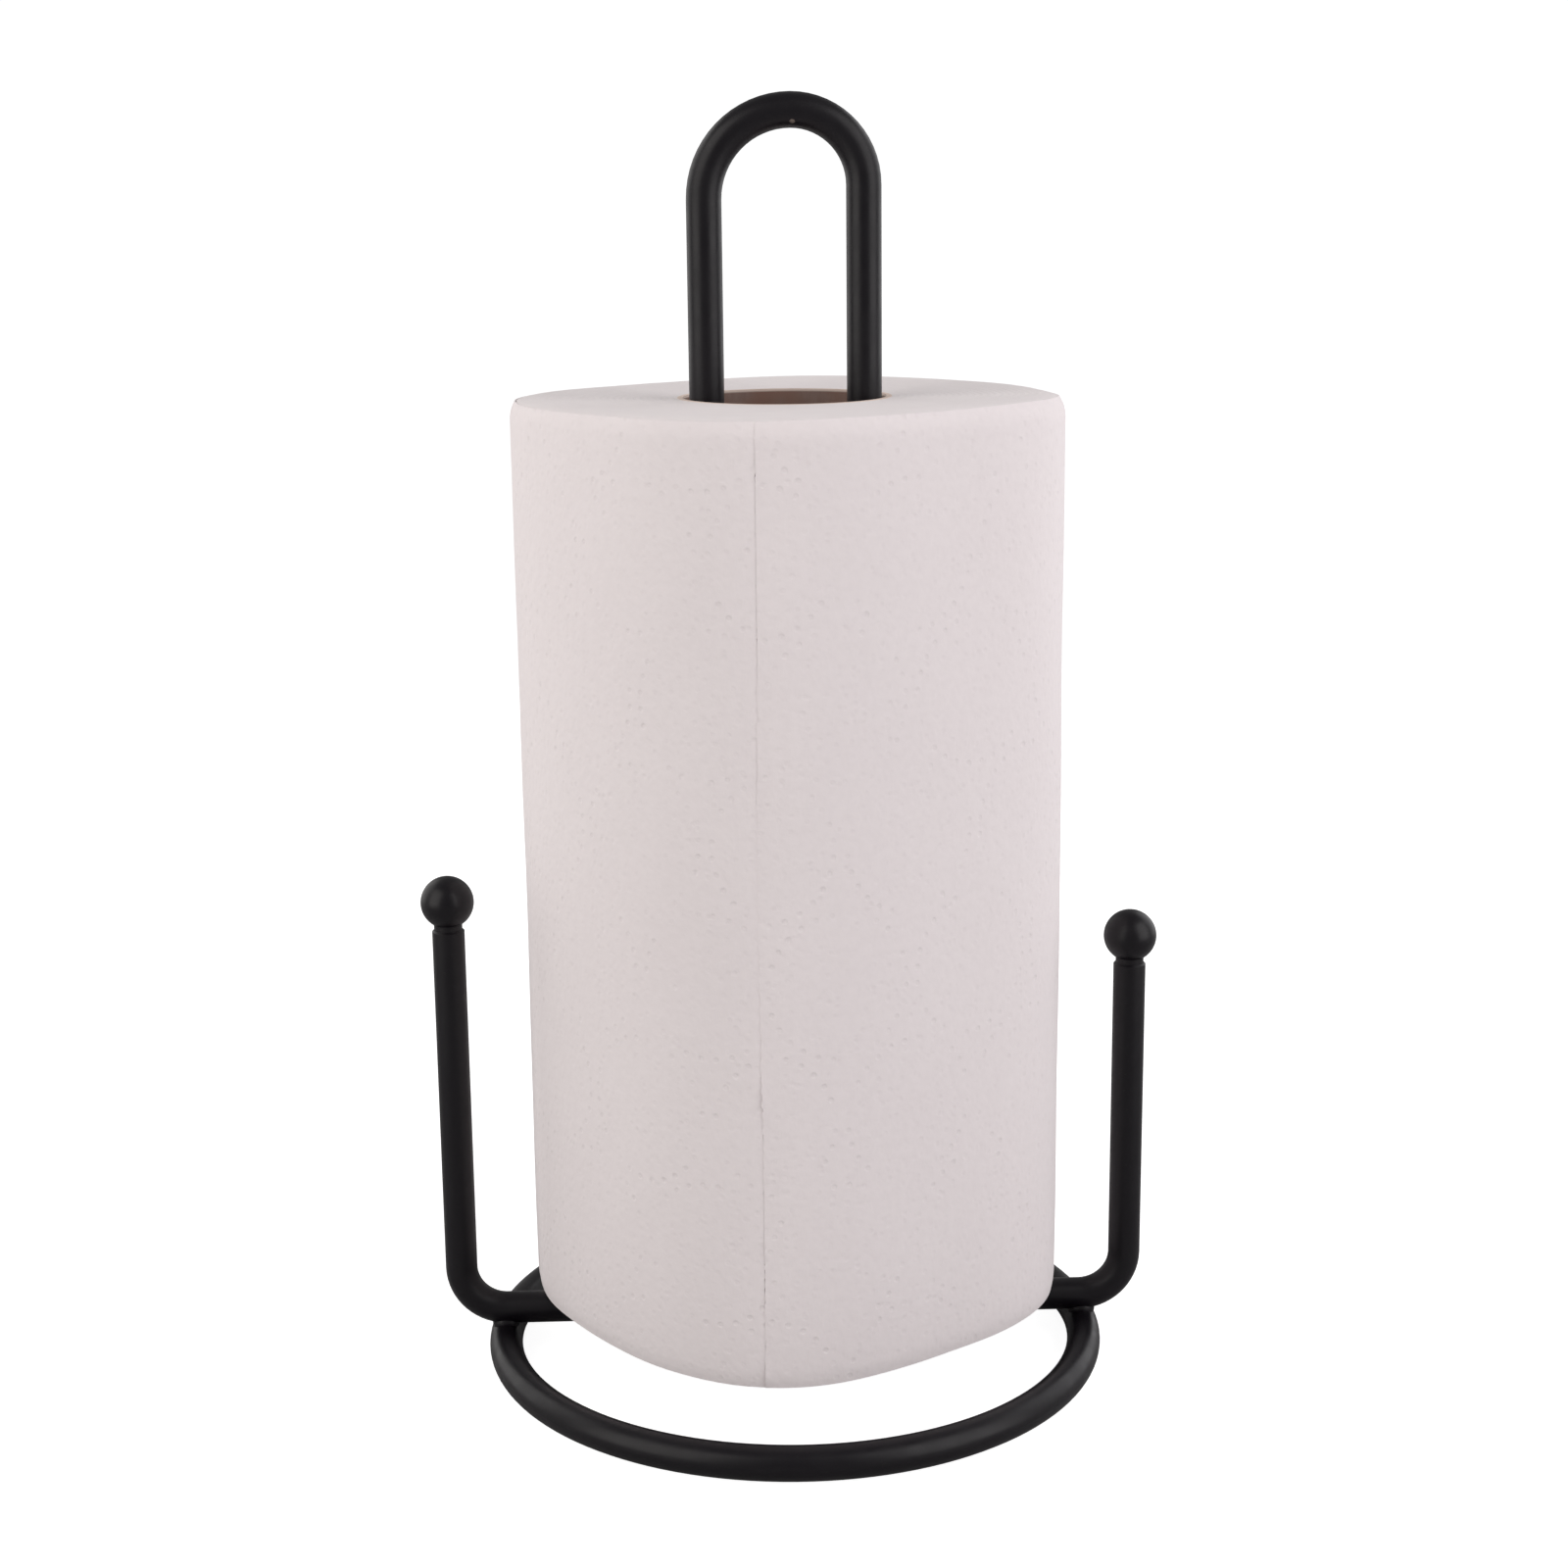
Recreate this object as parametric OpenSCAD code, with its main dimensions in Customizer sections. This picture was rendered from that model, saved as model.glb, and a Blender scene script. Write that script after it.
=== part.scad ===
// Free-standing paper towel holder bent from round steel rod, with a paper roll on its post.
// Origin: centre of the base ring on the table. +Z is up, +X runs along the cross arm, -Y is the front.

/* [Rod] */
// Diameter of the coated steel rod of the ring and the loop
rod_d = 8; // [7:0.5:9]
// Diameter of the coated steel rod of the cross arm
arm_rod_d = 7.7; // [7:0.1:8.5]
// How far the two rods sink into each other where they are resistance welded
weld_sink = 0.6; // [0.4:0.1:1]

/* [Base ring] */
// Outer diameter of the ring that stands on the table
ring_outer_d = 150; // [146:1:156]

/* [Cross arm] */
// Distance between the two uprights, centre to centre
arm_spacing = 163; // [161:1:180]
// Radius of each bend, to the middle of the rod
arm_bend_r = 11; // [9:0.5:14]
// Height of the left upright's end above the table
left_arm_h = 108; // [60:0.5:160]
// Height of the right upright's end above the table
right_arm_h = 96.5; // [60:0.5:160]
// Chamfer on each upright's end
arm_chamfer = 0.4; // [0.3:0.1:0.6]

/* [Loop post] */
// Overall height of the holder, to the top of the loop
holder_h = 300; // [270:1:340]
// Distance between the loop's two legs, centre to centre
leg_spacing = 36; // [30:0.5:36]
// How far the loop's crown sits to the right of its middle, because its two bends differ in radius
crown_offset = 1.5; // [0:0.1:3]
// Distance from the cross arm's middle to the flats that are pressed into it for the legs and the washers
seat_h = 2.85; // [2.7:0.05:3.3]
// Length of each pressed flat along the cross arm
seat_l = 10; // [9:0.5:12]

/* [Finials] */
// Diameter of the ball on each upright
ball_d = 12.6; // [11:0.1:15]
// Diameter of the short neck under each ball
neck_d = 6.7; // [6:0.1:7]
// Length of neck that shows between the ball and the upright's end
neck_l = 1.3; // [0.5:0.1:3]
// Length of the threaded stud that holds each ball
stud_l = 12; // [10:0.5:14]

/* [Fasteners] */
// Nominal diameter of the threads
thread_d = 4; // [3:1:4]
// Length of the post screws under the head
screw_l = 16; // [14:1:18]
// Diameter of the screw heads and of their washers
head_d = 7; // [7:0.1:7.6]
// Height of the screw heads
head_h = 2.6; // [2.2:0.1:3]
// Thickness of the washers
washer_t = 0.8; // [0.5:0.1:1]

/* [Paper roll] */
// Height of the roll
roll_h = 217; // [200:1:240]
// Outer diameter of the full roll
roll_d = 129; // [100:1:129]
// Bore of the cardboard core
core_bore_d = 47; // [47:0.5:50]
// How far the loose roll's axis stands behind the post's middle
roll_back = 6.5; // [0:0.1:6.5]
// Thickness of each of the core's two cardboard plies
ply_t = 0.6; // [0.5:0.05:0.8]
// Thickness of the last, loose turn of paper
sheet_t = 0.6; // [0.4:0.1:0.8]
// Direction of the loose sheet's free edge, seen from above
free_edge_angle = -98; // [-180:1:180]
// Angle left open between the free edge and the start of the last turn
free_edge_gap = 1; // [1:1:10]

/* [Hidden] */
$fn = 96;

rod_r = rod_d / 2;
arm_r = arm_rod_d / 2;
ring_r = ring_outer_d / 2 - rod_r;
arm_x = arm_spacing / 2;
arm_z = rod_d - weld_sink + arm_r;
arm_top = arm_z + arm_r;
upright_z = arm_z + arm_bend_r;
leg_x = leg_spacing / 2;
leg_z = arm_z + seat_h;
thread_r = thread_d / 2;
thread_gap = 0.05;
clearance_hole_r = thread_r + 0.15;
washer_hole_r = thread_r + 0.15;
washer_z = arm_z - seat_h - washer_t;
tapped_l = screw_l + washer_z - leg_z + 3;
weld_r = 3.4;
ball_r = ball_d / 2;
neck_r = neck_d / 2;
ball_rise = neck_l + sqrt(pow(ball_r, 2) - pow(neck_r, 2));
stud_hole_l = stud_l / 2 + 1;
recess_l = 4.2;
recess_w = 0.9;
recess_h = 1.4;
end_chamfer = 0.3;
roll_gap = 0.05;
roll_z = arm_top + roll_gap;
ply_gap = 0.05;
inner_ply_r = core_bore_d / 2;
outer_ply_r = inner_ply_r + ply_t + ply_gap;
winding_bore_r = outer_ply_r + ply_t;
winding_r = roll_d / 2 - sheet_t - ply_gap;
cut = 1;

steel_black = [0.13, 0.12, 0.13];
zinc = [0.72, 0.73, 0.75];
kraft = [0.55, 0.42, 0.32];
paper = [0.93, 0.91, 0.90];

// Solid tube standing on the XY plane
module tube(outer_r, inner_r, h) {
    difference() {
        cylinder(r = outer_r, h = h);
        translate([0, 0, -cut]) cylinder(r = inner_r, h = h + 2 * cut);
    }
}

// Quarter turn of rod in the XY plane, starting on +X
module rod_bend(bend_r, bend_rod_r) {
    rotate_extrude(angle = 90) translate([bend_r, 0]) circle(r = bend_rod_r);
}

// The ring's torus, which the cross arm and the welds are cut to
module ring_body() {
    translate([0, 0, rod_r]) rotate_extrude() translate([ring_r, 0]) circle(r = rod_r);
}

module base_ring() {
    color(steel_black) ring_body();
}

// Straight stretch of the cross arm, between its bends
module cross_bar() {
    bar_l = arm_spacing - 2 * arm_bend_r;
    translate([-bar_l / 2, 0, arm_z]) rotate([0, 90, 0]) cylinder(r = arm_r, h = bar_l);
}

// Bend at the cross arm's +X end, which turns it up into the upright
module arm_bend() {
    translate([arm_x - arm_bend_r, 0, upright_z]) rotate([90, 0, 0]) rotate([0, 0, -90])
        rod_bend(arm_bend_r, arm_r);
}

// Bend and upright on the +X side, with a chamfered end and a tapped hole for the stud
module upright(end_h) {
    arm_bend();
    translate([arm_x, 0, 0]) difference() {
        union() {
            translate([0, 0, upright_z]) cylinder(r = arm_r, h = end_h - arm_chamfer - upright_z);
            translate([0, 0, end_h - arm_chamfer])
                cylinder(r1 = arm_r, r2 = arm_r - arm_chamfer, h = arm_chamfer);
        }
        translate([0, 0, end_h - stud_hole_l]) cylinder(r = thread_r, h = stud_hole_l + cut);
    }
}

// Pressed flats above and below the cross arm, with the screw's clearance hole through them
module post_seat() {
    for (side = [0, 180]) translate([0, 0, arm_z]) rotate([side, 0, 0])
        translate([-seat_l / 2, -arm_r, seat_h]) cube([seat_l, arm_rod_d, arm_r]);
    translate([0, 0, arm_z - arm_r]) cylinder(r = clearance_hole_r, h = arm_rod_d);
}

module cross_arm() {
    color(steel_black) difference() {
        union() {
            cross_bar();
            upright(right_arm_h);
            mirror([1, 0, 0]) upright(left_arm_h);
        }
        ring_body();
        for (x = [-leg_x, leg_x]) translate([x, 0, 0]) post_seat();
    }
}

// Leg of the loop on the +X side, with a tapped hole in its foot, and the bend above it
module loop_half(bend_r) {
    bend_z = holder_h - rod_r - bend_r;
    translate([leg_x - bend_r, 0, bend_z]) rotate([90, 0, 0]) rod_bend(bend_r, rod_r);
    translate([leg_x, 0, leg_z]) difference() {
        cylinder(r = rod_r, h = bend_z - leg_z);
        translate([0, 0, -cut]) cylinder(r = thread_r, h = tapped_l + cut);
    }
}

module loop_post() {
    color(steel_black) {
        loop_half(leg_x - crown_offset);
        mirror([1, 0, 0]) loop_half(leg_x + crown_offset);
    }
}

// Fillet of weld metal squeezed out around a crossing of ring and cross arm
module ring_weld(side) {
    color(steel_black) mirror([side < 0 ? 1 : 0, 0, 0]) difference() {
        translate([ring_r, 0, rod_d - weld_sink / 2]) sphere(r = weld_r);
        ring_body();
        cross_bar();
        arm_bend();
    }
}

// Cheese-head screw, head down, with a cross recess
module post_screw(side) {
    color(zinc) translate([side * leg_x, 0, washer_z]) {
        cylinder(r = thread_r - thread_gap, h = screw_l - end_chamfer);
        translate([0, 0, screw_l - end_chamfer])
            cylinder(r1 = thread_r - thread_gap, r2 = thread_r - thread_gap - end_chamfer, h = end_chamfer);
        difference() {
            translate([0, 0, -head_h]) cylinder(r = head_d / 2, h = head_h);
            for (turn = [0, 90]) rotate([0, 0, turn])
                translate([-recess_l / 2, -recess_w / 2, -head_h - cut])
                cube([recess_l, recess_w, recess_h + cut]);
        }
    }
}

module washer(side) {
    color(zinc) translate([side * leg_x, 0, washer_z])
        tube(head_d / 2 + 0.3, washer_hole_r, washer_t);
}

// Ball on a short neck, with a blind tapped hole for the stud
module finial_ball(side, end_h) {
    color(steel_black) translate([side * arm_x, 0, end_h]) difference() {
        union() {
            translate([0, 0, ball_rise]) sphere(r = ball_r);
            cylinder(r = neck_r, h = ball_rise);
        }
        translate([0, 0, -cut]) cylinder(r = thread_r, h = stud_hole_l + cut);
    }
}

module finial_stud(side, end_h) {
    stud_r = thread_r - thread_gap;
    color(zinc) translate([side * arm_x, 0, end_h - stud_l / 2]) {
        cylinder(r1 = stud_r - end_chamfer, r2 = stud_r, h = end_chamfer);
        translate([0, 0, end_chamfer]) cylinder(r = stud_r, h = stud_l - 2 * end_chamfer);
        translate([0, 0, stud_l - end_chamfer])
            cylinder(r1 = stud_r, r2 = stud_r - end_chamfer, h = end_chamfer);
    }
}

module core_inner_ply() {
    color(kraft) translate([0, roll_back, roll_z]) tube(inner_ply_r + ply_t, inner_ply_r, roll_h);
}

module core_outer_ply() {
    color(kraft) translate([0, roll_back, roll_z]) tube(winding_bore_r, outer_ply_r, roll_h);
}

module paper_winding() {
    color(paper) translate([0, roll_back, roll_z]) tube(winding_r, winding_bore_r, roll_h);
}

// Last turn of paper, open between its free edge and its start
module loose_sheet() {
    color(paper) translate([0, roll_back, roll_z]) rotate([0, 0, free_edge_angle])
        rotate_extrude(angle = 360 - free_edge_gap)
        translate([winding_r + ply_gap, 0]) square([sheet_t, roll_h]);
}

base_ring();
cross_arm();
loop_post();
ring_weld(-1);  // ring_weld_left
ring_weld(1);  // ring_weld_right
post_screw(-1);  // post_screw_left
post_screw(1);  // post_screw_right
washer(-1);  // washer_left
washer(1);  // washer_right
finial_ball(-1, left_arm_h);  // finial_ball_left
finial_ball(1, right_arm_h);  // finial_ball_right
finial_stud(-1, left_arm_h);  // finial_stud_left
finial_stud(1, right_arm_h);  // finial_stud_right
core_inner_ply();
core_outer_ply();
paper_winding();
loose_sheet();
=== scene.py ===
"""Paper towel holder: looks, floor, lights and camera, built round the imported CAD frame."""
import math
import random

import bpy
from mathutils import Matrix, Vector


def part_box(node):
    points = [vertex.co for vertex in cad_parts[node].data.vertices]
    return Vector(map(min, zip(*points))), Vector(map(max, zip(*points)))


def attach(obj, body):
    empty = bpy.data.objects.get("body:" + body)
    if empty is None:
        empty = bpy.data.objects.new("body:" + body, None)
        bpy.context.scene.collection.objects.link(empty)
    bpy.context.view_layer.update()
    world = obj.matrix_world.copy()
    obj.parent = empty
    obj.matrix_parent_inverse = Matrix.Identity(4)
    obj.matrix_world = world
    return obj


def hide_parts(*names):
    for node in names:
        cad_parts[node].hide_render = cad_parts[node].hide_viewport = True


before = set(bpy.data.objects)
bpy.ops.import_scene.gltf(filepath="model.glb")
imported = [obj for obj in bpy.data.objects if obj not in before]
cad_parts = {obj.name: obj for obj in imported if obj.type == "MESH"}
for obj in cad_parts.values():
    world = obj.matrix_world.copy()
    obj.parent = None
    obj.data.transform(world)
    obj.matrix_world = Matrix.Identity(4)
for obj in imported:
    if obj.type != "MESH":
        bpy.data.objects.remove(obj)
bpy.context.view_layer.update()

MM = 0.001
TAU = 2 * math.pi

# ---------------------------------------------------------------- the CAD frame's places

roll_low, roll_high = (Vector(c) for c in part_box("paper_winding"))
core_low, core_high = (Vector(c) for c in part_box("core_outer_ply"))
loop_low, loop_high = (Vector(c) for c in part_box("loop_post"))
AXIS_X = (roll_low.x + roll_high.x) / 2
AXIS_Y = (roll_low.y + roll_high.y) / 2
ROLL_Z0 = roll_low.z
ROLL_Z1 = roll_high.z
BORE_R = (core_high.x - core_low.x) / 2 + 0.01 * MM

# ---------------------------------------------------------------- sizes of the paper and its pattern

FREE_EDGE = math.radians(-98)      # where the last turn ends, seen from above
CORNER_AT = math.radians(-100)     # the front corner of the squashed roll
CORNER_R = 64.4 * MM               # radius at the corners
FLAT_IN = 6.0 * MM                 # how far the sides between them are pressed in
FULL_SIDE = math.radians(-150)     # the front left side is pressed in less,
FULL_OUT = 1.25 * MM               # by this,
FULL_WIDTH = math.radians(26)      # over about this turn
SHIFT_AT = math.radians(-50)       # the outside lies a little to the front right of the core,
SHIFT = 0.5 * MM                   # by this
UNDERLAP = math.radians(9)         # how far the last turn passes under its own end
SHEET_T = 0.34 * MM                # one embossed towel, as thick as it looks
TURN_STEP = 0.46 * MM              # how far the last turn sinks in one turn
CLEAR = 0.025 * MM                 # air between the last turn and the paper under it
GAP = 0.02 * MM                    # air left under the free edge where it has settled
BLEND_AFTER = 0.02                 # the paper under the last turn steps out this far past its end,
BLEND_OVER = 0.10                  # over this turn, both in radians
EDGE_T = 0.06 * MM                 # the torn edge is feathered to this,
FEATHER = 0.10                     # over about this turn, in radians
SETTLE = 0.12                      # the free edge lies closer to the paper under it, over this turn
LIFT_FADE = 0.018                  # where the free edge stands off, it lies down over this turn
RIM_DEEP = 4.5 * MM                # height and width of the rounded rims
RIM_IN_TOP = 1.4 * MM              # how far the rims pull in
RIM_IN_BOTTOM = 0.55 * MM
EDGE_DROP_TOP = 0.65 * MM          # how far the outer turns sit below the top face
EDGE_DROP_BOTTOM = 0.25 * MM       # and above the bottom face
RISE = 0.66 * MM                   # how much higher the top's rim stands than at the core,
TILT = 0.46 * MM                   # give or take this,
TILT_AT = math.radians(30)         # and most of all here
DENT = 0.40 * MM                   # a dent in the rim at the right
DENT_WIDTH = 0.09
RIDGES = 24                        # coarse ridges of the spiral in each end
LAYERS_PER_RIDGE = 4               # fine layers drawn on each ridge
BOTTOM_SINK = 0.8                  # the bottom face's relief against the top's

# Soft hollows and swells: size in mm, waves round the roll, slant up it, and where they start
SWELLS = (
    (0.10, 3, 4.0, 0.7),
    (0.07, 7, -9.0, 0.0),
    (0.06, 11, 15.0, 2.0),
    (0.04, 17, -26.0, 1.0),
)
SWELLS_IN = 0.12 * MM              # they are moved in by this, to stay within the CAD roll

# Where the free edge stands off a little: height as a share of the roll's, spread, and lift in mm
EDGE_LIFTS = (
    (0.955, 0.020, 0.05),
    (0.318, 0.017, 0.34),
    (0.155, 0.012, 0.14),
    (0.095, 0.010, 0.12),
    (0.66, 0.03, 0.05),
    (0.012, 0.012, 0.38),
)

CIRCLE_PITCH = 36 * MM             # between the middles of neighbouring circles of dots
RING_STEP = 4.12 * MM              # between the rings of dots in a circle
OUTER_RING = 4.0                   # number of the outermost ring
DOTS_PER_RING = 7.0                # this many dots in the first ring, twice as many in the second
FINE_PITCH = 2.1 * MM              # between the faint dots of the ground

CORE_SEAM_PITCH = 78 * MM          # climb of the core's spiral seam in one turn
DOT_RIGHT = 1.95 * MM              # the bare dot is this far right of the loop's middle,
DOT_FRONT = 3.0 * MM               # this far in front of its rod's centre,
DOT_DOWN = 6.6 * MM                # and this far under its top
SHARP_ANGLE = math.radians(38)     # mesh edges sharper than this aren't shaded smooth

# ---------------------------------------------------------------- node helpers


class Nodes:
    """One material's node tree, built with short calls."""

    def __init__(self, name):
        self.material = bpy.data.materials.new(name)
        self.material.use_nodes = True
        self.tree = self.material.node_tree
        self.tree.nodes.clear()
        out = self.add("ShaderNodeOutputMaterial")
        self.bsdf = self.add("ShaderNodeBsdfPrincipled")
        self.tree.links.new(self.bsdf.outputs[0], out.inputs["Surface"])

    def add(self, kind, **settings):
        node = self.tree.nodes.new(kind)
        for key, value in settings.items():
            setattr(node, key, value)
        return node

    def put(self, socket, value):
        if isinstance(value, bpy.types.NodeSocket):
            self.tree.links.new(value, socket)
        else:
            socket.default_value = value

    def set(self, **values):
        for key, value in values.items():
            self.put(self.bsdf.inputs[key.replace("_", " ")], value)

    def math(self, operation, *values, clamp=False):
        node = self.add("ShaderNodeMath", operation=operation, use_clamp=clamp)
        for socket, value in zip(node.inputs, values):
            self.put(socket, value)
        return node.outputs[0]

    def distance(self, a, b):
        node = self.add("ShaderNodeVectorMath", operation="DISTANCE")
        self.put(node.inputs[0], a)
        self.put(node.inputs[1], b)
        return node.outputs["Value"]

    def ramp(self, value, low, high, to_low=0.0, to_high=1.0):
        node = self.add("ShaderNodeMapRange", interpolation_type="SMOOTHSTEP")
        for socket, number in zip(node.inputs, (value, low, high, to_low, to_high)):
            self.put(socket, number)
        return node.outputs[0]

    def mix(self, factor, a, b):
        node = self.add("ShaderNodeMix", data_type="RGBA")
        self.put(node.inputs[0], factor)
        self.put(node.inputs[6], a)
        self.put(node.inputs[7], b)
        return node.outputs[2]

    def scaled(self, coords, scale):
        node = self.add("ShaderNodeMapping")
        self.put(node.inputs["Vector"], coords)
        node.inputs["Scale"].default_value = scale
        return node.outputs[0]

    def noise(self, coords, scale, detail=3.0, roughness=0.5):
        node = self.add("ShaderNodeTexNoise")
        self.put(node.inputs["Vector"], coords)
        node.inputs["Scale"].default_value = scale
        node.inputs["Detail"].default_value = detail
        node.inputs["Roughness"].default_value = roughness
        return node.outputs[0]

    def object_coords(self):
        return self.add("ShaderNodeTexCoord").outputs["Object"]

    def uv(self, layer):
        return self.add("ShaderNodeUVMap", uv_map=layer).outputs[0]

    def split(self, vector):
        node = self.add("ShaderNodeSeparateXYZ")
        self.put(node.inputs[0], vector)
        return node.outputs

    def bump(self, height, distance, strength=1.0, under=None):
        node = self.add("ShaderNodeBump")
        self.put(node.inputs["Height"], height)
        node.inputs["Distance"].default_value = distance
        node.inputs["Strength"].default_value = strength
        if under is not None:
            self.put(node.inputs["Normal"], under)
        return node.outputs[0]


def rgb(r, g, b):
    return (r, g, b, 1.0)


# ---------------------------------------------------------------- materials


def black_coat():
    """Satin black powder coat: orange peel, a cloudy sheen and a bare dot under the loop's crown."""
    n = Nodes("black_coat")
    coords = n.object_coords()
    cloud = n.noise(coords, 42.0, 4.0)
    speck = n.noise(coords, 1500.0, 2.0)
    peel = n.noise(coords, 620.0, 2.0, 0.4)
    coat = n.mix(cloud, rgb(0.0026, 0.0017, 0.0034), rgb(0.0042, 0.0028, 0.0050))
    coat = n.mix(n.ramp(speck, 0.62, 0.78), coat, rgb(0.007, 0.006, 0.007))

    middle = (loop_low + loop_high) / 2
    dot_at = (middle.x + DOT_RIGHT, middle.y - DOT_FRONT, loop_high.z - DOT_DOWN)
    ragged = n.math("MULTIPLY_ADD", n.noise(coords, 2600.0, 1.0), 0.5 * MM, n.distance(coords, dot_at))
    bare = n.ramp(ragged, 0.75 * MM, 0.95 * MM, 1.0, 0.0)
    n.set(
        Base_Color=n.mix(bare, coat, rgb(0.20, 0.165, 0.145)),
        Roughness=n.ramp(n.noise(coords, 160.0, 4.0), 0.3, 0.7, 0.33, 0.42),
        Metallic=n.math("MULTIPLY", bare, 0.6),
        Specular_IOR_Level=0.30,
        Normal=n.bump(speck, 0.006 * MM, 0.6, n.bump(peel, 0.030 * MM, 0.7)),
    )
    return n.material


def zinc_steel():
    """Bright zinc plate on small hardware: turned rings, spangle and a few dull patches."""
    n = Nodes("zinc_steel")
    coords = n.object_coords()
    patches = n.noise(coords, 420.0, 3.0)
    turned = n.noise(n.scaled(coords, (900.0, 900.0, 9000.0)), 1.0, 2.0)
    n.set(
        Base_Color=n.mix(patches, rgb(0.50, 0.51, 0.54), rgb(0.70, 0.70, 0.69)),
        Metallic=1.0,
        Roughness=n.ramp(patches, 0.3, 0.7, 0.24, 0.42),
        Normal=n.bump(turned, 0.02 * MM, 0.5),
    )
    return n.material


def core_board():
    """Wound kraft board: fibres, a spiral seam, and a paler cut edge at each end, painted near the
    paper's colour as a painted highlight on the rim.
    """
    n = Nodes("core_board")
    coords = n.object_coords()
    x, y, z = n.split(coords)
    turn = n.math("ARCTAN2", n.math("SUBTRACT", y, AXIS_Y), n.math("SUBTRACT", x, AXIS_X))
    climb = n.math("DIVIDE", z, CORE_SEAM_PITCH)
    seam_at = n.math("FRACT", n.math("ADD", n.math("DIVIDE", turn, TAU), climb))
    seam = n.ramp(n.math("ABSOLUTE", n.math("SUBTRACT", seam_at, 0.5)), 0.004, 0.016, 1.0, 0.0)
    fibre = n.noise(n.scaled(coords, (900.0, 900.0, 260.0)), 1.0, 5.0, 0.65)
    cloud = n.noise(coords, 70.0, 3.0)
    board = n.mix(fibre, rgb(0.205, 0.138, 0.118), rgb(0.320, 0.235, 0.205))
    board = n.mix(n.ramp(cloud, 0.35, 0.65), board, rgb(0.265, 0.158, 0.124))
    board = n.mix(seam, board, rgb(0.13, 0.07, 0.045))
    from_middle = n.math("ABSOLUTE", n.math("SUBTRACT", z, (ROLL_Z0 + ROLL_Z1) / 2))
    from_end = n.math("SUBTRACT", (ROLL_Z1 - ROLL_Z0) / 2, from_middle)
    # painted highlight: the last 0.8 mm at each end is painted pale, near the paper's colour, as a
    # bright lit rim
    painted_rim_highlight = n.ramp(from_end, 0.25 * MM, 0.80 * MM, 1.0, 0.0)
    n.set(
        Base_Color=n.mix(painted_rim_highlight, board, rgb(0.84, 0.70, 0.62)),
        Roughness=0.92,
        Specular_IOR_Level=0.25,
        Normal=n.bump(fibre, 0.08 * MM, 0.8),
    )
    return n.material


def wound_towel():
    """The wound paper's ends: hundreds of thin edges in a spiral, a little uneven and fuzzy, with
    painted shade in the gaps between them.
    """
    n = Nodes("wound_towel")
    turns, _, _ = n.split(n.uv("Ends"))
    coords = n.object_coords()
    fuzz = n.noise(coords, 1900.0, 3.0, 0.6)
    drift = n.noise(coords, 90.0, 2.0)
    wave = n.math("ADD", turns, n.math("MULTIPLY", n.math("SUBTRACT", drift, 0.5), 0.35))
    layer = n.math("SINE", n.math("MULTIPLY", wave, TAU * LAYERS_PER_RIDGE))
    layer = n.math("MULTIPLY_ADD", layer, 0.5, 0.5)
    # painted shade: the gaps between the layers are painted darker
    painted_layer_shade = n.ramp(layer, 0.05, 0.35, 1.0, 0.0)
    paper = n.mix(drift, rgb(0.865, 0.807, 0.812), rgb(0.890, 0.836, 0.840))
    paper = n.mix(n.math("MULTIPLY", painted_layer_shade, 0.15), paper, rgb(0.66, 0.60, 0.60))
    n.set(
        Base_Color=paper,
        Roughness=0.95,
        Specular_IOR_Level=0.2,
        Sheen_Weight=0.15,
        Sheen_Roughness=0.6,
        Normal=n.bump(fuzz, 0.05 * MM, 0.6, n.bump(layer, 0.035 * MM, 0.7)),
    )
    return n.material


def circle_dots(n, flat):
    """Pressed dots, 0 to 1: rings of them in circles that lie in a honeycomb."""
    u, v, _ = n.split(flat)
    stray = n.noise(flat, 55.0, 1.0)
    u = n.math("MULTIPLY_ADD", n.math("SUBTRACT", stray, 0.5), 0.5 * MM, u)

    def local(value, period, shift):
        cell = n.math("ADD", n.math("DIVIDE", n.math("SUBTRACT", value, shift), period), 0.5)
        return n.math("MULTIPLY", n.math("SUBTRACT", n.math("FRACT", cell), 0.5), period)

    def length(a, b):
        return n.math("SQRT", n.math("MULTIPLY_ADD", a, a, n.math("MULTIPLY", b, b)))

    def pick(first, a, b):
        other = n.math("SUBTRACT", 1.0, first)
        return n.math("ADD", n.math("MULTIPLY", first, a), n.math("MULTIPLY", other, b))

    # a honeycomb is two grids of circles, one in the gaps of the other
    wide, tall = CIRCLE_PITCH, CIRCLE_PITCH * math.sqrt(3)
    au, av = local(u, wide, 0.0), local(v, tall, 0.0)
    bu, bv = local(u, wide, wide / 2), local(v, tall, tall / 2)
    near_a = n.math("LESS_THAN", length(au, av), length(bu, bv))
    cu, cv = pick(near_a, au, bu), pick(near_a, av, bv)

    radius = length(cu, cv)
    ring = n.math("MINIMUM", n.math("ROUND", n.math("DIVIDE", radius, RING_STEP)), OUTER_RING)
    count = n.math("MAXIMUM", n.math("MULTIPLY", ring, DOTS_PER_RING), 1.0)
    turn = n.math("DIVIDE", n.math("ARCTAN2", cv, cu), TAU)
    spot = n.math("MULTIPLY_ADD", turn, count, n.math("MULTIPLY", ring, 0.37))
    off = n.math("SUBTRACT", spot, n.math("ROUND", spot))
    ring_r = n.math("MULTIPLY", ring, RING_STEP)
    along = n.math("DIVIDE", n.math("MULTIPLY", off, n.math("MULTIPLY", ring_r, TAU)), count)
    across = n.math("SUBTRACT", radius, ring_r)
    dot = n.ramp(length(along, across), 0.30 * MM, 0.85 * MM, 1.0, 0.0)
    uneven = n.ramp(n.noise(flat, 75.0, 2.0), 0.40, 0.58, 0.12, 1.0)
    outermost = n.ramp(ring, OUTER_RING - 1, OUTER_RING, 0.42, 1.0)
    return n.math("MULTIPLY", dot, n.math("MULTIPLY", uneven, outermost))


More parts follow.
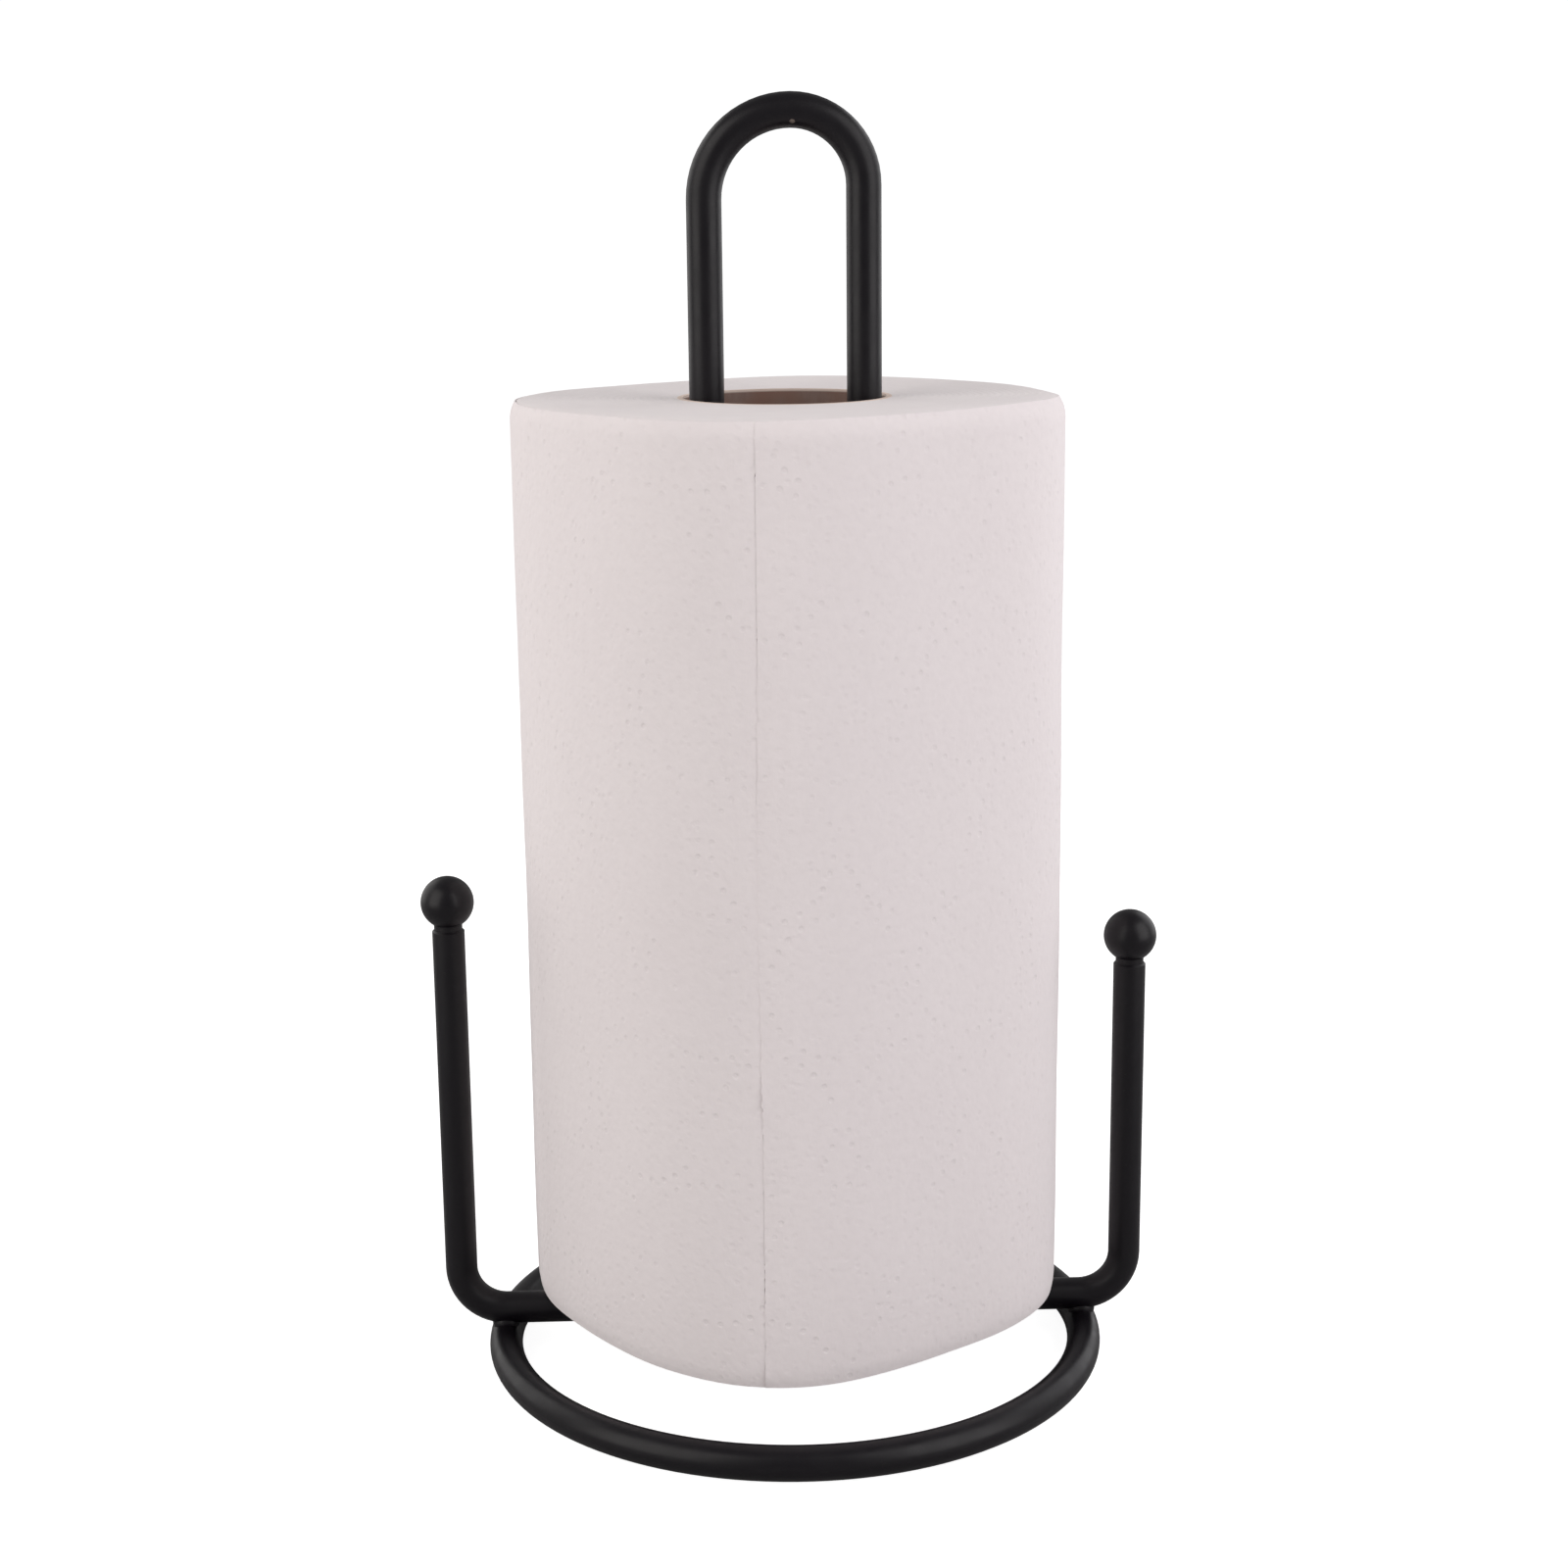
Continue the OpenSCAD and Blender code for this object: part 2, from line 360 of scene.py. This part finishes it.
def ground_dots(n, flat):
    """The faint small dots between the circles, 0 to 1."""
    cells = n.add("ShaderNodeTexVoronoi", feature="F1")
    n.put(cells.inputs["Vector"], flat)
    cells.inputs["Scale"].default_value = 1 / FINE_PITCH
    cells.inputs["Randomness"].default_value = 0.55
    fine = n.ramp(cells.outputs["Distance"], 0.10, 0.42, 1.0, 0.0)
    return n.math("MULTIPLY", fine, n.ramp(n.noise(flat, 160.0, 2.0), 0.35, 0.70))


def towel_sheet():
    """Two-ply towel: circles of pressed dots, faint dots between them, mottling, crepe and fibres,
    with painted shade in the dots and in the mottling's hollows.
    """
    n = Nodes("towel_sheet")
    flat = n.uv("Flat")
    dot = circle_dots(n, flat)
    fine = ground_dots(n, flat)
    mottle = n.noise(flat, 430.0, 1.5, 0.5)
    crepe = n.noise(n.scaled(flat, (2300.0, 520.0, 1.0)), 1.0, 4.0, 0.6)
    fibre = n.noise(n.scaled(flat, (5200.0, 5200.0, 1.0)), 1.0, 3.0, 0.6)
    cloud = n.noise(flat, 26.0, 3.0)

    paper = n.mix(cloud, rgb(0.838, 0.775, 0.784), rgb(0.872, 0.812, 0.818))
    paper = n.mix(n.ramp(fibre, 0.45, 0.8, 0.0, 0.20), paper, rgb(0.78, 0.71, 0.72))
    # painted shade: where the mottled bumps are lowest the paper is painted darker
    paper = n.mix(n.ramp(mottle, 0.38, 0.64, 0.10, 0.0), paper, rgb(0.74, 0.675, 0.685))
    # painted shade: the pressed dots and the faint dots are painted darker, as shade in their hollows
    painted_dot_shade = n.math("ADD", n.math("MULTIPLY", dot, 0.18), n.math("MULTIPLY", fine, 0.12), clamp=True)
    paper = n.mix(painted_dot_shade, paper, rgb(0.70, 0.635, 0.645))

    relief = n.math("ADD", n.math("MULTIPLY", dot, -0.75), n.math("MULTIPLY", fine, -0.5))
    relief = n.math("MULTIPLY_ADD", mottle, 1.05, relief)
    surface = n.bump(fibre, 0.025 * MM, 0.5, n.bump(crepe, 0.035 * MM, 0.6))
    n.set(
        Base_Color=paper,
        Roughness=n.ramp(crepe, 0.3, 0.7, 0.86, 0.96),
        Specular_IOR_Level=0.2,
        Sheen_Weight=0.15,
        Sheen_Roughness=0.6,
        Normal=n.bump(relief, 0.15 * MM, 0.9, surface),
    )
    return n.material


def paint(material, *names):
    """Give CAD nodes a material, on the object and not on its mesh."""
    for name in names:
        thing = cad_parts[name]
        if not thing.material_slots:
            thing.data.materials.append(None)
        for slot in thing.material_slots:
            slot.link = "OBJECT"
            slot.material = material


coat_material = black_coat()
zinc_material = zinc_steel()
board_material = core_board()
wound_material = wound_towel()
sheet_material = towel_sheet()

paint(
    coat_material,
    "base_ring", "cross_arm", "loop_post", "ring_weld_left", "ring_weld_right",
    "finial_ball_left", "finial_ball_right",
)
paint(
    zinc_material,
    "post_screw_left", "post_screw_right", "washer_left", "washer_right",
    "finial_stud_left", "finial_stud_right",
)
paint(board_material, "core_inner_ply", "core_outer_ply")

# ---------------------------------------------------------------- the roll's shape


def smooth(t):
    t = min(max(t, 0.0), 1.0)
    return t * t * (3 - 2 * t)


def section(phi):
    """The roll's outside radius: it was squashed in its pack, so it has four soft corners."""
    flats = math.sin(2 * (phi - CORNER_AT)) ** 2
    shift = SHIFT * math.cos(phi - SHIFT_AT)
    from_full_side = (phi - FULL_SIDE + math.pi) % TAU - math.pi
    full = FULL_OUT * math.exp(-((from_full_side / FULL_WIDTH) ** 2))
    return CORNER_R + shift + full - FLAT_IN * flats


def rim(z):
    """How far the rounded rims pull in at height z."""
    from_top = min(max(0.0, 1 - (ROLL_Z1 - z) / RIM_DEEP), 1.2)
    from_bottom = max(0.0, 1 - (z - ROLL_Z0) / RIM_DEEP)
    return RIM_IN_TOP * from_top ** 2 + RIM_IN_BOTTOM * from_bottom ** 2


def from_edge(phi):
    """Turn from the free edge, 0 to TAU."""
    return (phi - FREE_EDGE) % TAU


def wavy(phi, z):
    """Soft hollows and swells in the outer turns."""
    h = (z - ROLL_Z0) / (ROLL_Z1 - ROLL_Z0)
    swell = 0.0
    for size, waves, slant, start in SWELLS:
        swell += size * math.sin(waves * phi + slant * h + start)
    return swell * MM - SWELLS_IN


def crown(phi):
    """How much higher the top's rim stands than at the core."""
    dent = DENT * math.exp(-((math.sin(phi / 2) / DENT_WIDTH) ** 2))
    return RISE + TILT * math.cos(phi - TILT_AT) - dent


def wound_radius(phi, z):
    """Outside of the paper under the last turn."""
    turned = from_edge(phi)
    blend = smooth((turned - UNDERLAP - BLEND_AFTER) / BLEND_OVER)
    sunk = SHEET_T + TURN_STEP * (blend * turned / TAU + (1 - blend)) + CLEAR
    return section(phi) + wavy(phi, z) - sunk - rim(z)


def add_mesh(name, points, faces, material, uvs=None, layer=None):
    """A smooth mesh object with one material and, where uvs are given, one UV layer."""
    mesh = bpy.data.meshes.new(name)
    mesh.from_pydata(points, [], faces)
    mesh.validate()
    mesh.shade_smooth()
    mesh.set_sharp_from_angle(angle=SHARP_ANGLE)
    if uvs:
        uv_layer = mesh.uv_layers.new(name=layer)
        for face in mesh.polygons:
            for loop in face.loop_indices:
                uv_layer.data[loop].uv = uvs[face.index][loop - face.loop_start]
    mesh.materials.append(material)
    piece = bpy.data.objects.new(name, mesh)
    bpy.context.scene.collection.objects.link(piece)
    return piece


def build_winding():
    """Closed ring of wound paper with a spiral of ridges in both ends."""
    around, radial, wall = 256, 112, 22
    draws = random.Random(11)
    uneven = [draws.uniform(-1, 1) for _ in range(RIDGES + 3)]

    def end_sink(t, phi):
        """How deep an end face lies at t, from 0 at the bore to 1 at the outside."""
        k = t * RIDGES
        low = int(k)
        ridge = 0.5 - 0.5 * math.cos(TAU * (k - from_edge(phi) / TAU))
        step = uneven[low] + (uneven[low + 1] - uneven[low]) * smooth(k - low)
        sway = 0.10 * math.sin(2 * phi + 5 * t) + 0.06 * math.sin(5 * phi - 11 * t)
        lip = 0.05 * math.exp(-((t / 0.05) ** 2))
        return (0.05 + 0.09 * ridge + 0.05 * (step + 1) + sway * t - lip) * MM

    def end_height(where, t, phi, rounding):
        if where == "bottom":
            sink = max(0.0, end_sink(t, -phi)) * BOTTOM_SINK
            return ROLL_Z0 + sink + EDGE_DROP_BOTTOM * rounding
        return ROLL_Z1 + crown(phi) * t - end_sink(t, phi) - EDGE_DROP_TOP * rounding

    def place(where, t, phi):
        """Radius and height of one point of the profile."""
        if where == "bore":
            return BORE_R, ROLL_Z0 + t * (ROLL_Z1 - ROLL_Z0)
        if where == "wall":
            low = ROLL_Z0 + EDGE_DROP_BOTTOM + end_sink(1, -phi) * BOTTOM_SINK
            high = ROLL_Z1 + crown(phi) - EDGE_DROP_TOP - end_sink(1, phi)
            z = low + (high - low) * (0.5 - 0.5 * math.cos(math.pi * t))
            return wound_radius(phi, z), z
        outer = wound_radius(phi, ROLL_Z0 if where == "bottom" else ROLL_Z1)
        r = BORE_R + t * (outer - BORE_R)
        rounding = max(0.0, (r - outer) / RIM_DEEP + 1) ** 2
        return r, end_height(where, t, phi, rounding)

    profile = [("bottom", j / radial) for j in range(radial + 1)]
    profile += [("wall", j / wall) for j in range(1, wall)]
    profile += [("top", 1 - j / radial) for j in range(radial + 1)]
    profile += [("bore", 1 - j / 3) for j in range(1, 3)]

    points, turns = [], []
    for i in range(around):
        phi = FREE_EDGE + TAU * i / around
        for where, t in profile:
            r, z = place(where, t, phi)
            points.append((AXIS_X + r * math.cos(phi), AXIS_Y + r * math.sin(phi), z))
            turns.append(t * RIDGES)

    count = len(profile)
    faces, uvs = [], []
    for i in range(around):
        after = (i + 1) % around
        angles = (i / around, (i + 1) / around, (i + 1) / around, i / around)
        for j in range(count):
            k = (j + 1) % count
            corners = (i * count + j, after * count + j, after * count + k, i * count + k)
            faces.append(corners)
            uvs.append([(turns[c] - a, a) for c, a in zip(corners, angles)])
    piece = add_mesh("towel_winding", points, faces, wound_material, uvs, "Ends")
    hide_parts("paper_winding")
    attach(piece, "roll")
    return piece


def build_sheet():
    """The last turn: a thin closed sheet that starts at its torn edge and ends under itself."""
    along, up = 170, 190
    total = TAU + UNDERLAP
    draws = random.Random(5)
    teeth = [draws.uniform(-1, 1) for _ in range(up + 1)]

    def spaced(t):
        """Columns lie close together at the free edge and wide apart behind."""
        return 0.10 * t + 0.90 * t * t if t < 0.5 else 0.275 + (t - 0.5) * 1.45

    def lift(h):
        """How far the free edge stands off at height h."""
        lifts = (size * math.exp(-(((h - at) / spread) ** 2)) for at, spread, size in EDGE_LIFTS)
        return sum(lifts) * MM

    def low_edge(phi):
        return ROLL_Z0 + (0.22 + 0.10 * math.sin(3 * phi + 1) + 0.05 * math.sin(9 * phi)) * MM

    def high_edge(phi):
        drop = 0.70 + 0.10 * math.sin(2 * phi) + 0.06 * math.sin(7 * phi + 2)
        return ROLL_Z1 + crown(phi) - drop * MM

    def torn(h, j):
        """How far the free edge strays sideways."""
        return (0.20 * teeth[j] + 0.35 * math.sin(9.0 * h)) * MM

    angles = [FREE_EDGE + total * spaced(i / along) for i in range(along + 1)]
    length = [0.0]
    for a, b in zip(angles, angles[1:]):
        ra, rb = section(a), section(b)
        length.append(length[-1] + math.hypot(rb - ra, (ra + rb) / 2 * (b - a)))

    outer, inner, flat = [], [], []
    for i, phi in enumerate(angles):
        turned = phi - FREE_EDGE
        low, high = low_edge(phi), high_edge(phi)
        near = math.exp(-turned / LIFT_FADE)
        settle = (TURN_STEP - EDGE_T - GAP) * math.exp(-turned / SETTLE)
        thick = EDGE_T + (SHEET_T - EDGE_T) * (1 - math.exp(-turned / FEATHER))
        for j in range(up + 1):
            h = j / up
            z = low + (high - low) * h
            angle = phi + torn(h, j) / section(phi) if i == 0 else phi
            r = section(phi) + wavy(phi, z) - TURN_STEP * turned / TAU - settle
            r += lift(h) * near - rim(z)
            for side, depth in ((outer, 0.0), (inner, thick)):
                x = AXIS_X + (r - depth) * math.cos(angle)
                y = AXIS_Y + (r - depth) * math.sin(angle)
                side.append((x, y, z))
            flat.append((length[i], z - ROLL_Z0))

    size = (along + 1) * (up + 1)

    def at(i, j, inside=False):
        return i * (up + 1) + j + (size if inside else 0)

    faces = []
    for i in range(along):
        for j in range(up):
            faces.append((at(i, j), at(i + 1, j), at(i + 1, j + 1), at(i, j + 1)))
            under_face = (at(i, j), at(i, j + 1), at(i + 1, j + 1), at(i + 1, j))
            faces.append(tuple(corner + size for corner in under_face))
        faces.append((at(i, 0, True), at(i + 1, 0, True), at(i + 1, 0), at(i, 0)))
        faces.append((at(i, up), at(i + 1, up), at(i + 1, up, True), at(i, up, True)))
    for j in range(up):
        faces.append((at(0, j, True), at(0, j), at(0, j + 1), at(0, j + 1, True)))
        faces.append((at(along, j), at(along, j, True), at(along, j + 1, True), at(along, j + 1)))
    uvs = [[flat[c % size] for c in face] for face in faces]
    piece = add_mesh("towel_sheet", outer + inner, faces, sheet_material, uvs, "Flat")
    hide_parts("loose_sheet")
    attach(piece, "roll")


winding = build_winding()
build_sheet()

# ---------------------------------------------------------------- floor, lights, world, camera

FLOOR_R = 0.9
ROOM = 0.30                        # strength of the grey room that lights the object from all round
MIDDLE = (0.0, 0.0, 0.13)          # where the lights point
CAMERA_AT = (-22.56 * MM, -599.73 * MM, 278.13 * MM)
CAMERA_YAW = math.radians(2.03)    # to the right
CAMERA_DOWN = math.radians(12.79)
CAMERA_ROLL = math.radians(-0.59)
LENS = 59.9


def build_floor():
    """A plain disc: white to the camera, and grey in the light that it gives the object."""
    n = Nodes("white_floor")
    grain = n.noise(n.object_coords(), 14.0, 3.0)
    seen = n.add("ShaderNodeLightPath").outputs["Is Camera Ray"]
    n.set(
        Base_Color=n.mix(grain, rgb(0.44, 0.44, 0.44), rgb(0.47, 0.47, 0.47)),
        Roughness=0.9,
        Specular_IOR_Level=0.1,
        Emission_Color=rgb(1.0, 1.0, 1.0),
        Emission_Strength=n.math("MULTIPLY", seen, 0.93),
    )
    corners = 96
    angles = [TAU * i / corners for i in range(corners)]
    edge = [(FLOOR_R * math.cos(a), FLOOR_R * math.sin(a), -0.05 * MM) for a in angles]
    floor = add_mesh("floor", edge, [tuple(range(corners))], n.material)


def build_light(name, place, height, power, colour):
    """A soft panel 1 m wide, out of the camera's sight."""
    light = bpy.data.lights.new(name, "AREA")
    light.shape = "RECTANGLE"
    light.size = 1.0
    light.size_y = height
    light.energy = power
    light.color = colour
    thing = bpy.data.objects.new(name, light)
    thing.location = place
    thing.rotation_euler = (Vector(MIDDLE) - Vector(place)).to_track_quat("-Z", "Y").to_euler()
    thing.visible_camera = False
    bpy.context.scene.collection.objects.link(thing)


def build_world():
    """White where the camera looks, and a soft grey room for light and reflections."""
    world = bpy.data.worlds.new("white_room")
    bpy.context.scene.world = world
    world.use_nodes = True
    tree = world.node_tree
    tree.nodes.clear()
    out = tree.nodes.new("ShaderNodeOutputWorld")
    white = tree.nodes.new("ShaderNodeBackground")
    room = tree.nodes.new("ShaderNodeBackground")
    both = tree.nodes.new("ShaderNodeMixShader")
    path = tree.nodes.new("ShaderNodeLightPath")
    white.inputs["Color"].default_value = rgb(1.0, 1.0, 1.0)
    white.inputs["Strength"].default_value = 1.05
    room.inputs["Color"].default_value = rgb(1.0, 0.99, 0.99)
    room.inputs["Strength"].default_value = ROOM
    tree.links.new(path.outputs["Is Camera Ray"], both.inputs[0])
    tree.links.new(room.outputs[0], both.inputs[1])
    tree.links.new(white.outputs[0], both.inputs[2])
    tree.links.new(both.outputs[0], out.inputs["Surface"])


def build_camera():
    """A 60 mm lens just left of the middle, 28 cm up and 60 cm in front, looking 13 degrees down."""
    forward = Vector((
        math.sin(CAMERA_YAW) * math.cos(CAMERA_DOWN),
        math.cos(CAMERA_YAW) * math.cos(CAMERA_DOWN),
        -math.sin(CAMERA_DOWN),
    ))
    level = Vector((math.cos(CAMERA_YAW), -math.sin(CAMERA_YAW), 0.0))
    upright = level.cross(forward)
    right = level * math.cos(CAMERA_ROLL) + upright * math.sin(CAMERA_ROLL)
    up = upright * math.cos(CAMERA_ROLL) - level * math.sin(CAMERA_ROLL)
    data = bpy.data.cameras.new("camera")
    data.sensor_width = 36.0
    data.lens = LENS
    data.clip_start = 0.01
    camera = bpy.data.objects.new("camera", data)
    turn = Matrix((right, up, -forward)).transposed().to_4x4()
    camera.matrix_world = Matrix.Translation(CAMERA_AT) @ turn
    bpy.context.scene.collection.objects.link(camera)
    bpy.context.scene.camera = camera


build_floor()
build_world()
build_light("key_left", (-0.89, -0.58, 0.53), 1.5, 8.3, (1.0, 0.968, 0.935))
build_light("key_right", (0.89, -0.55, 0.53), 1.5, 9.1, (0.985, 0.960, 0.965))
build_light("rim_left", (-0.86, 0.62, 0.40), 1.2, 4.3, (1.0, 0.98, 0.96))
build_light("rim_right", (0.86, 0.62, 0.40), 1.2, 4.3, (0.99, 0.98, 1.0))
build_camera()

settings = bpy.context.scene.view_settings
settings.view_transform = "Standard"
settings.look = "None"
settings.exposure = 0.0
settings.gamma = 1.0
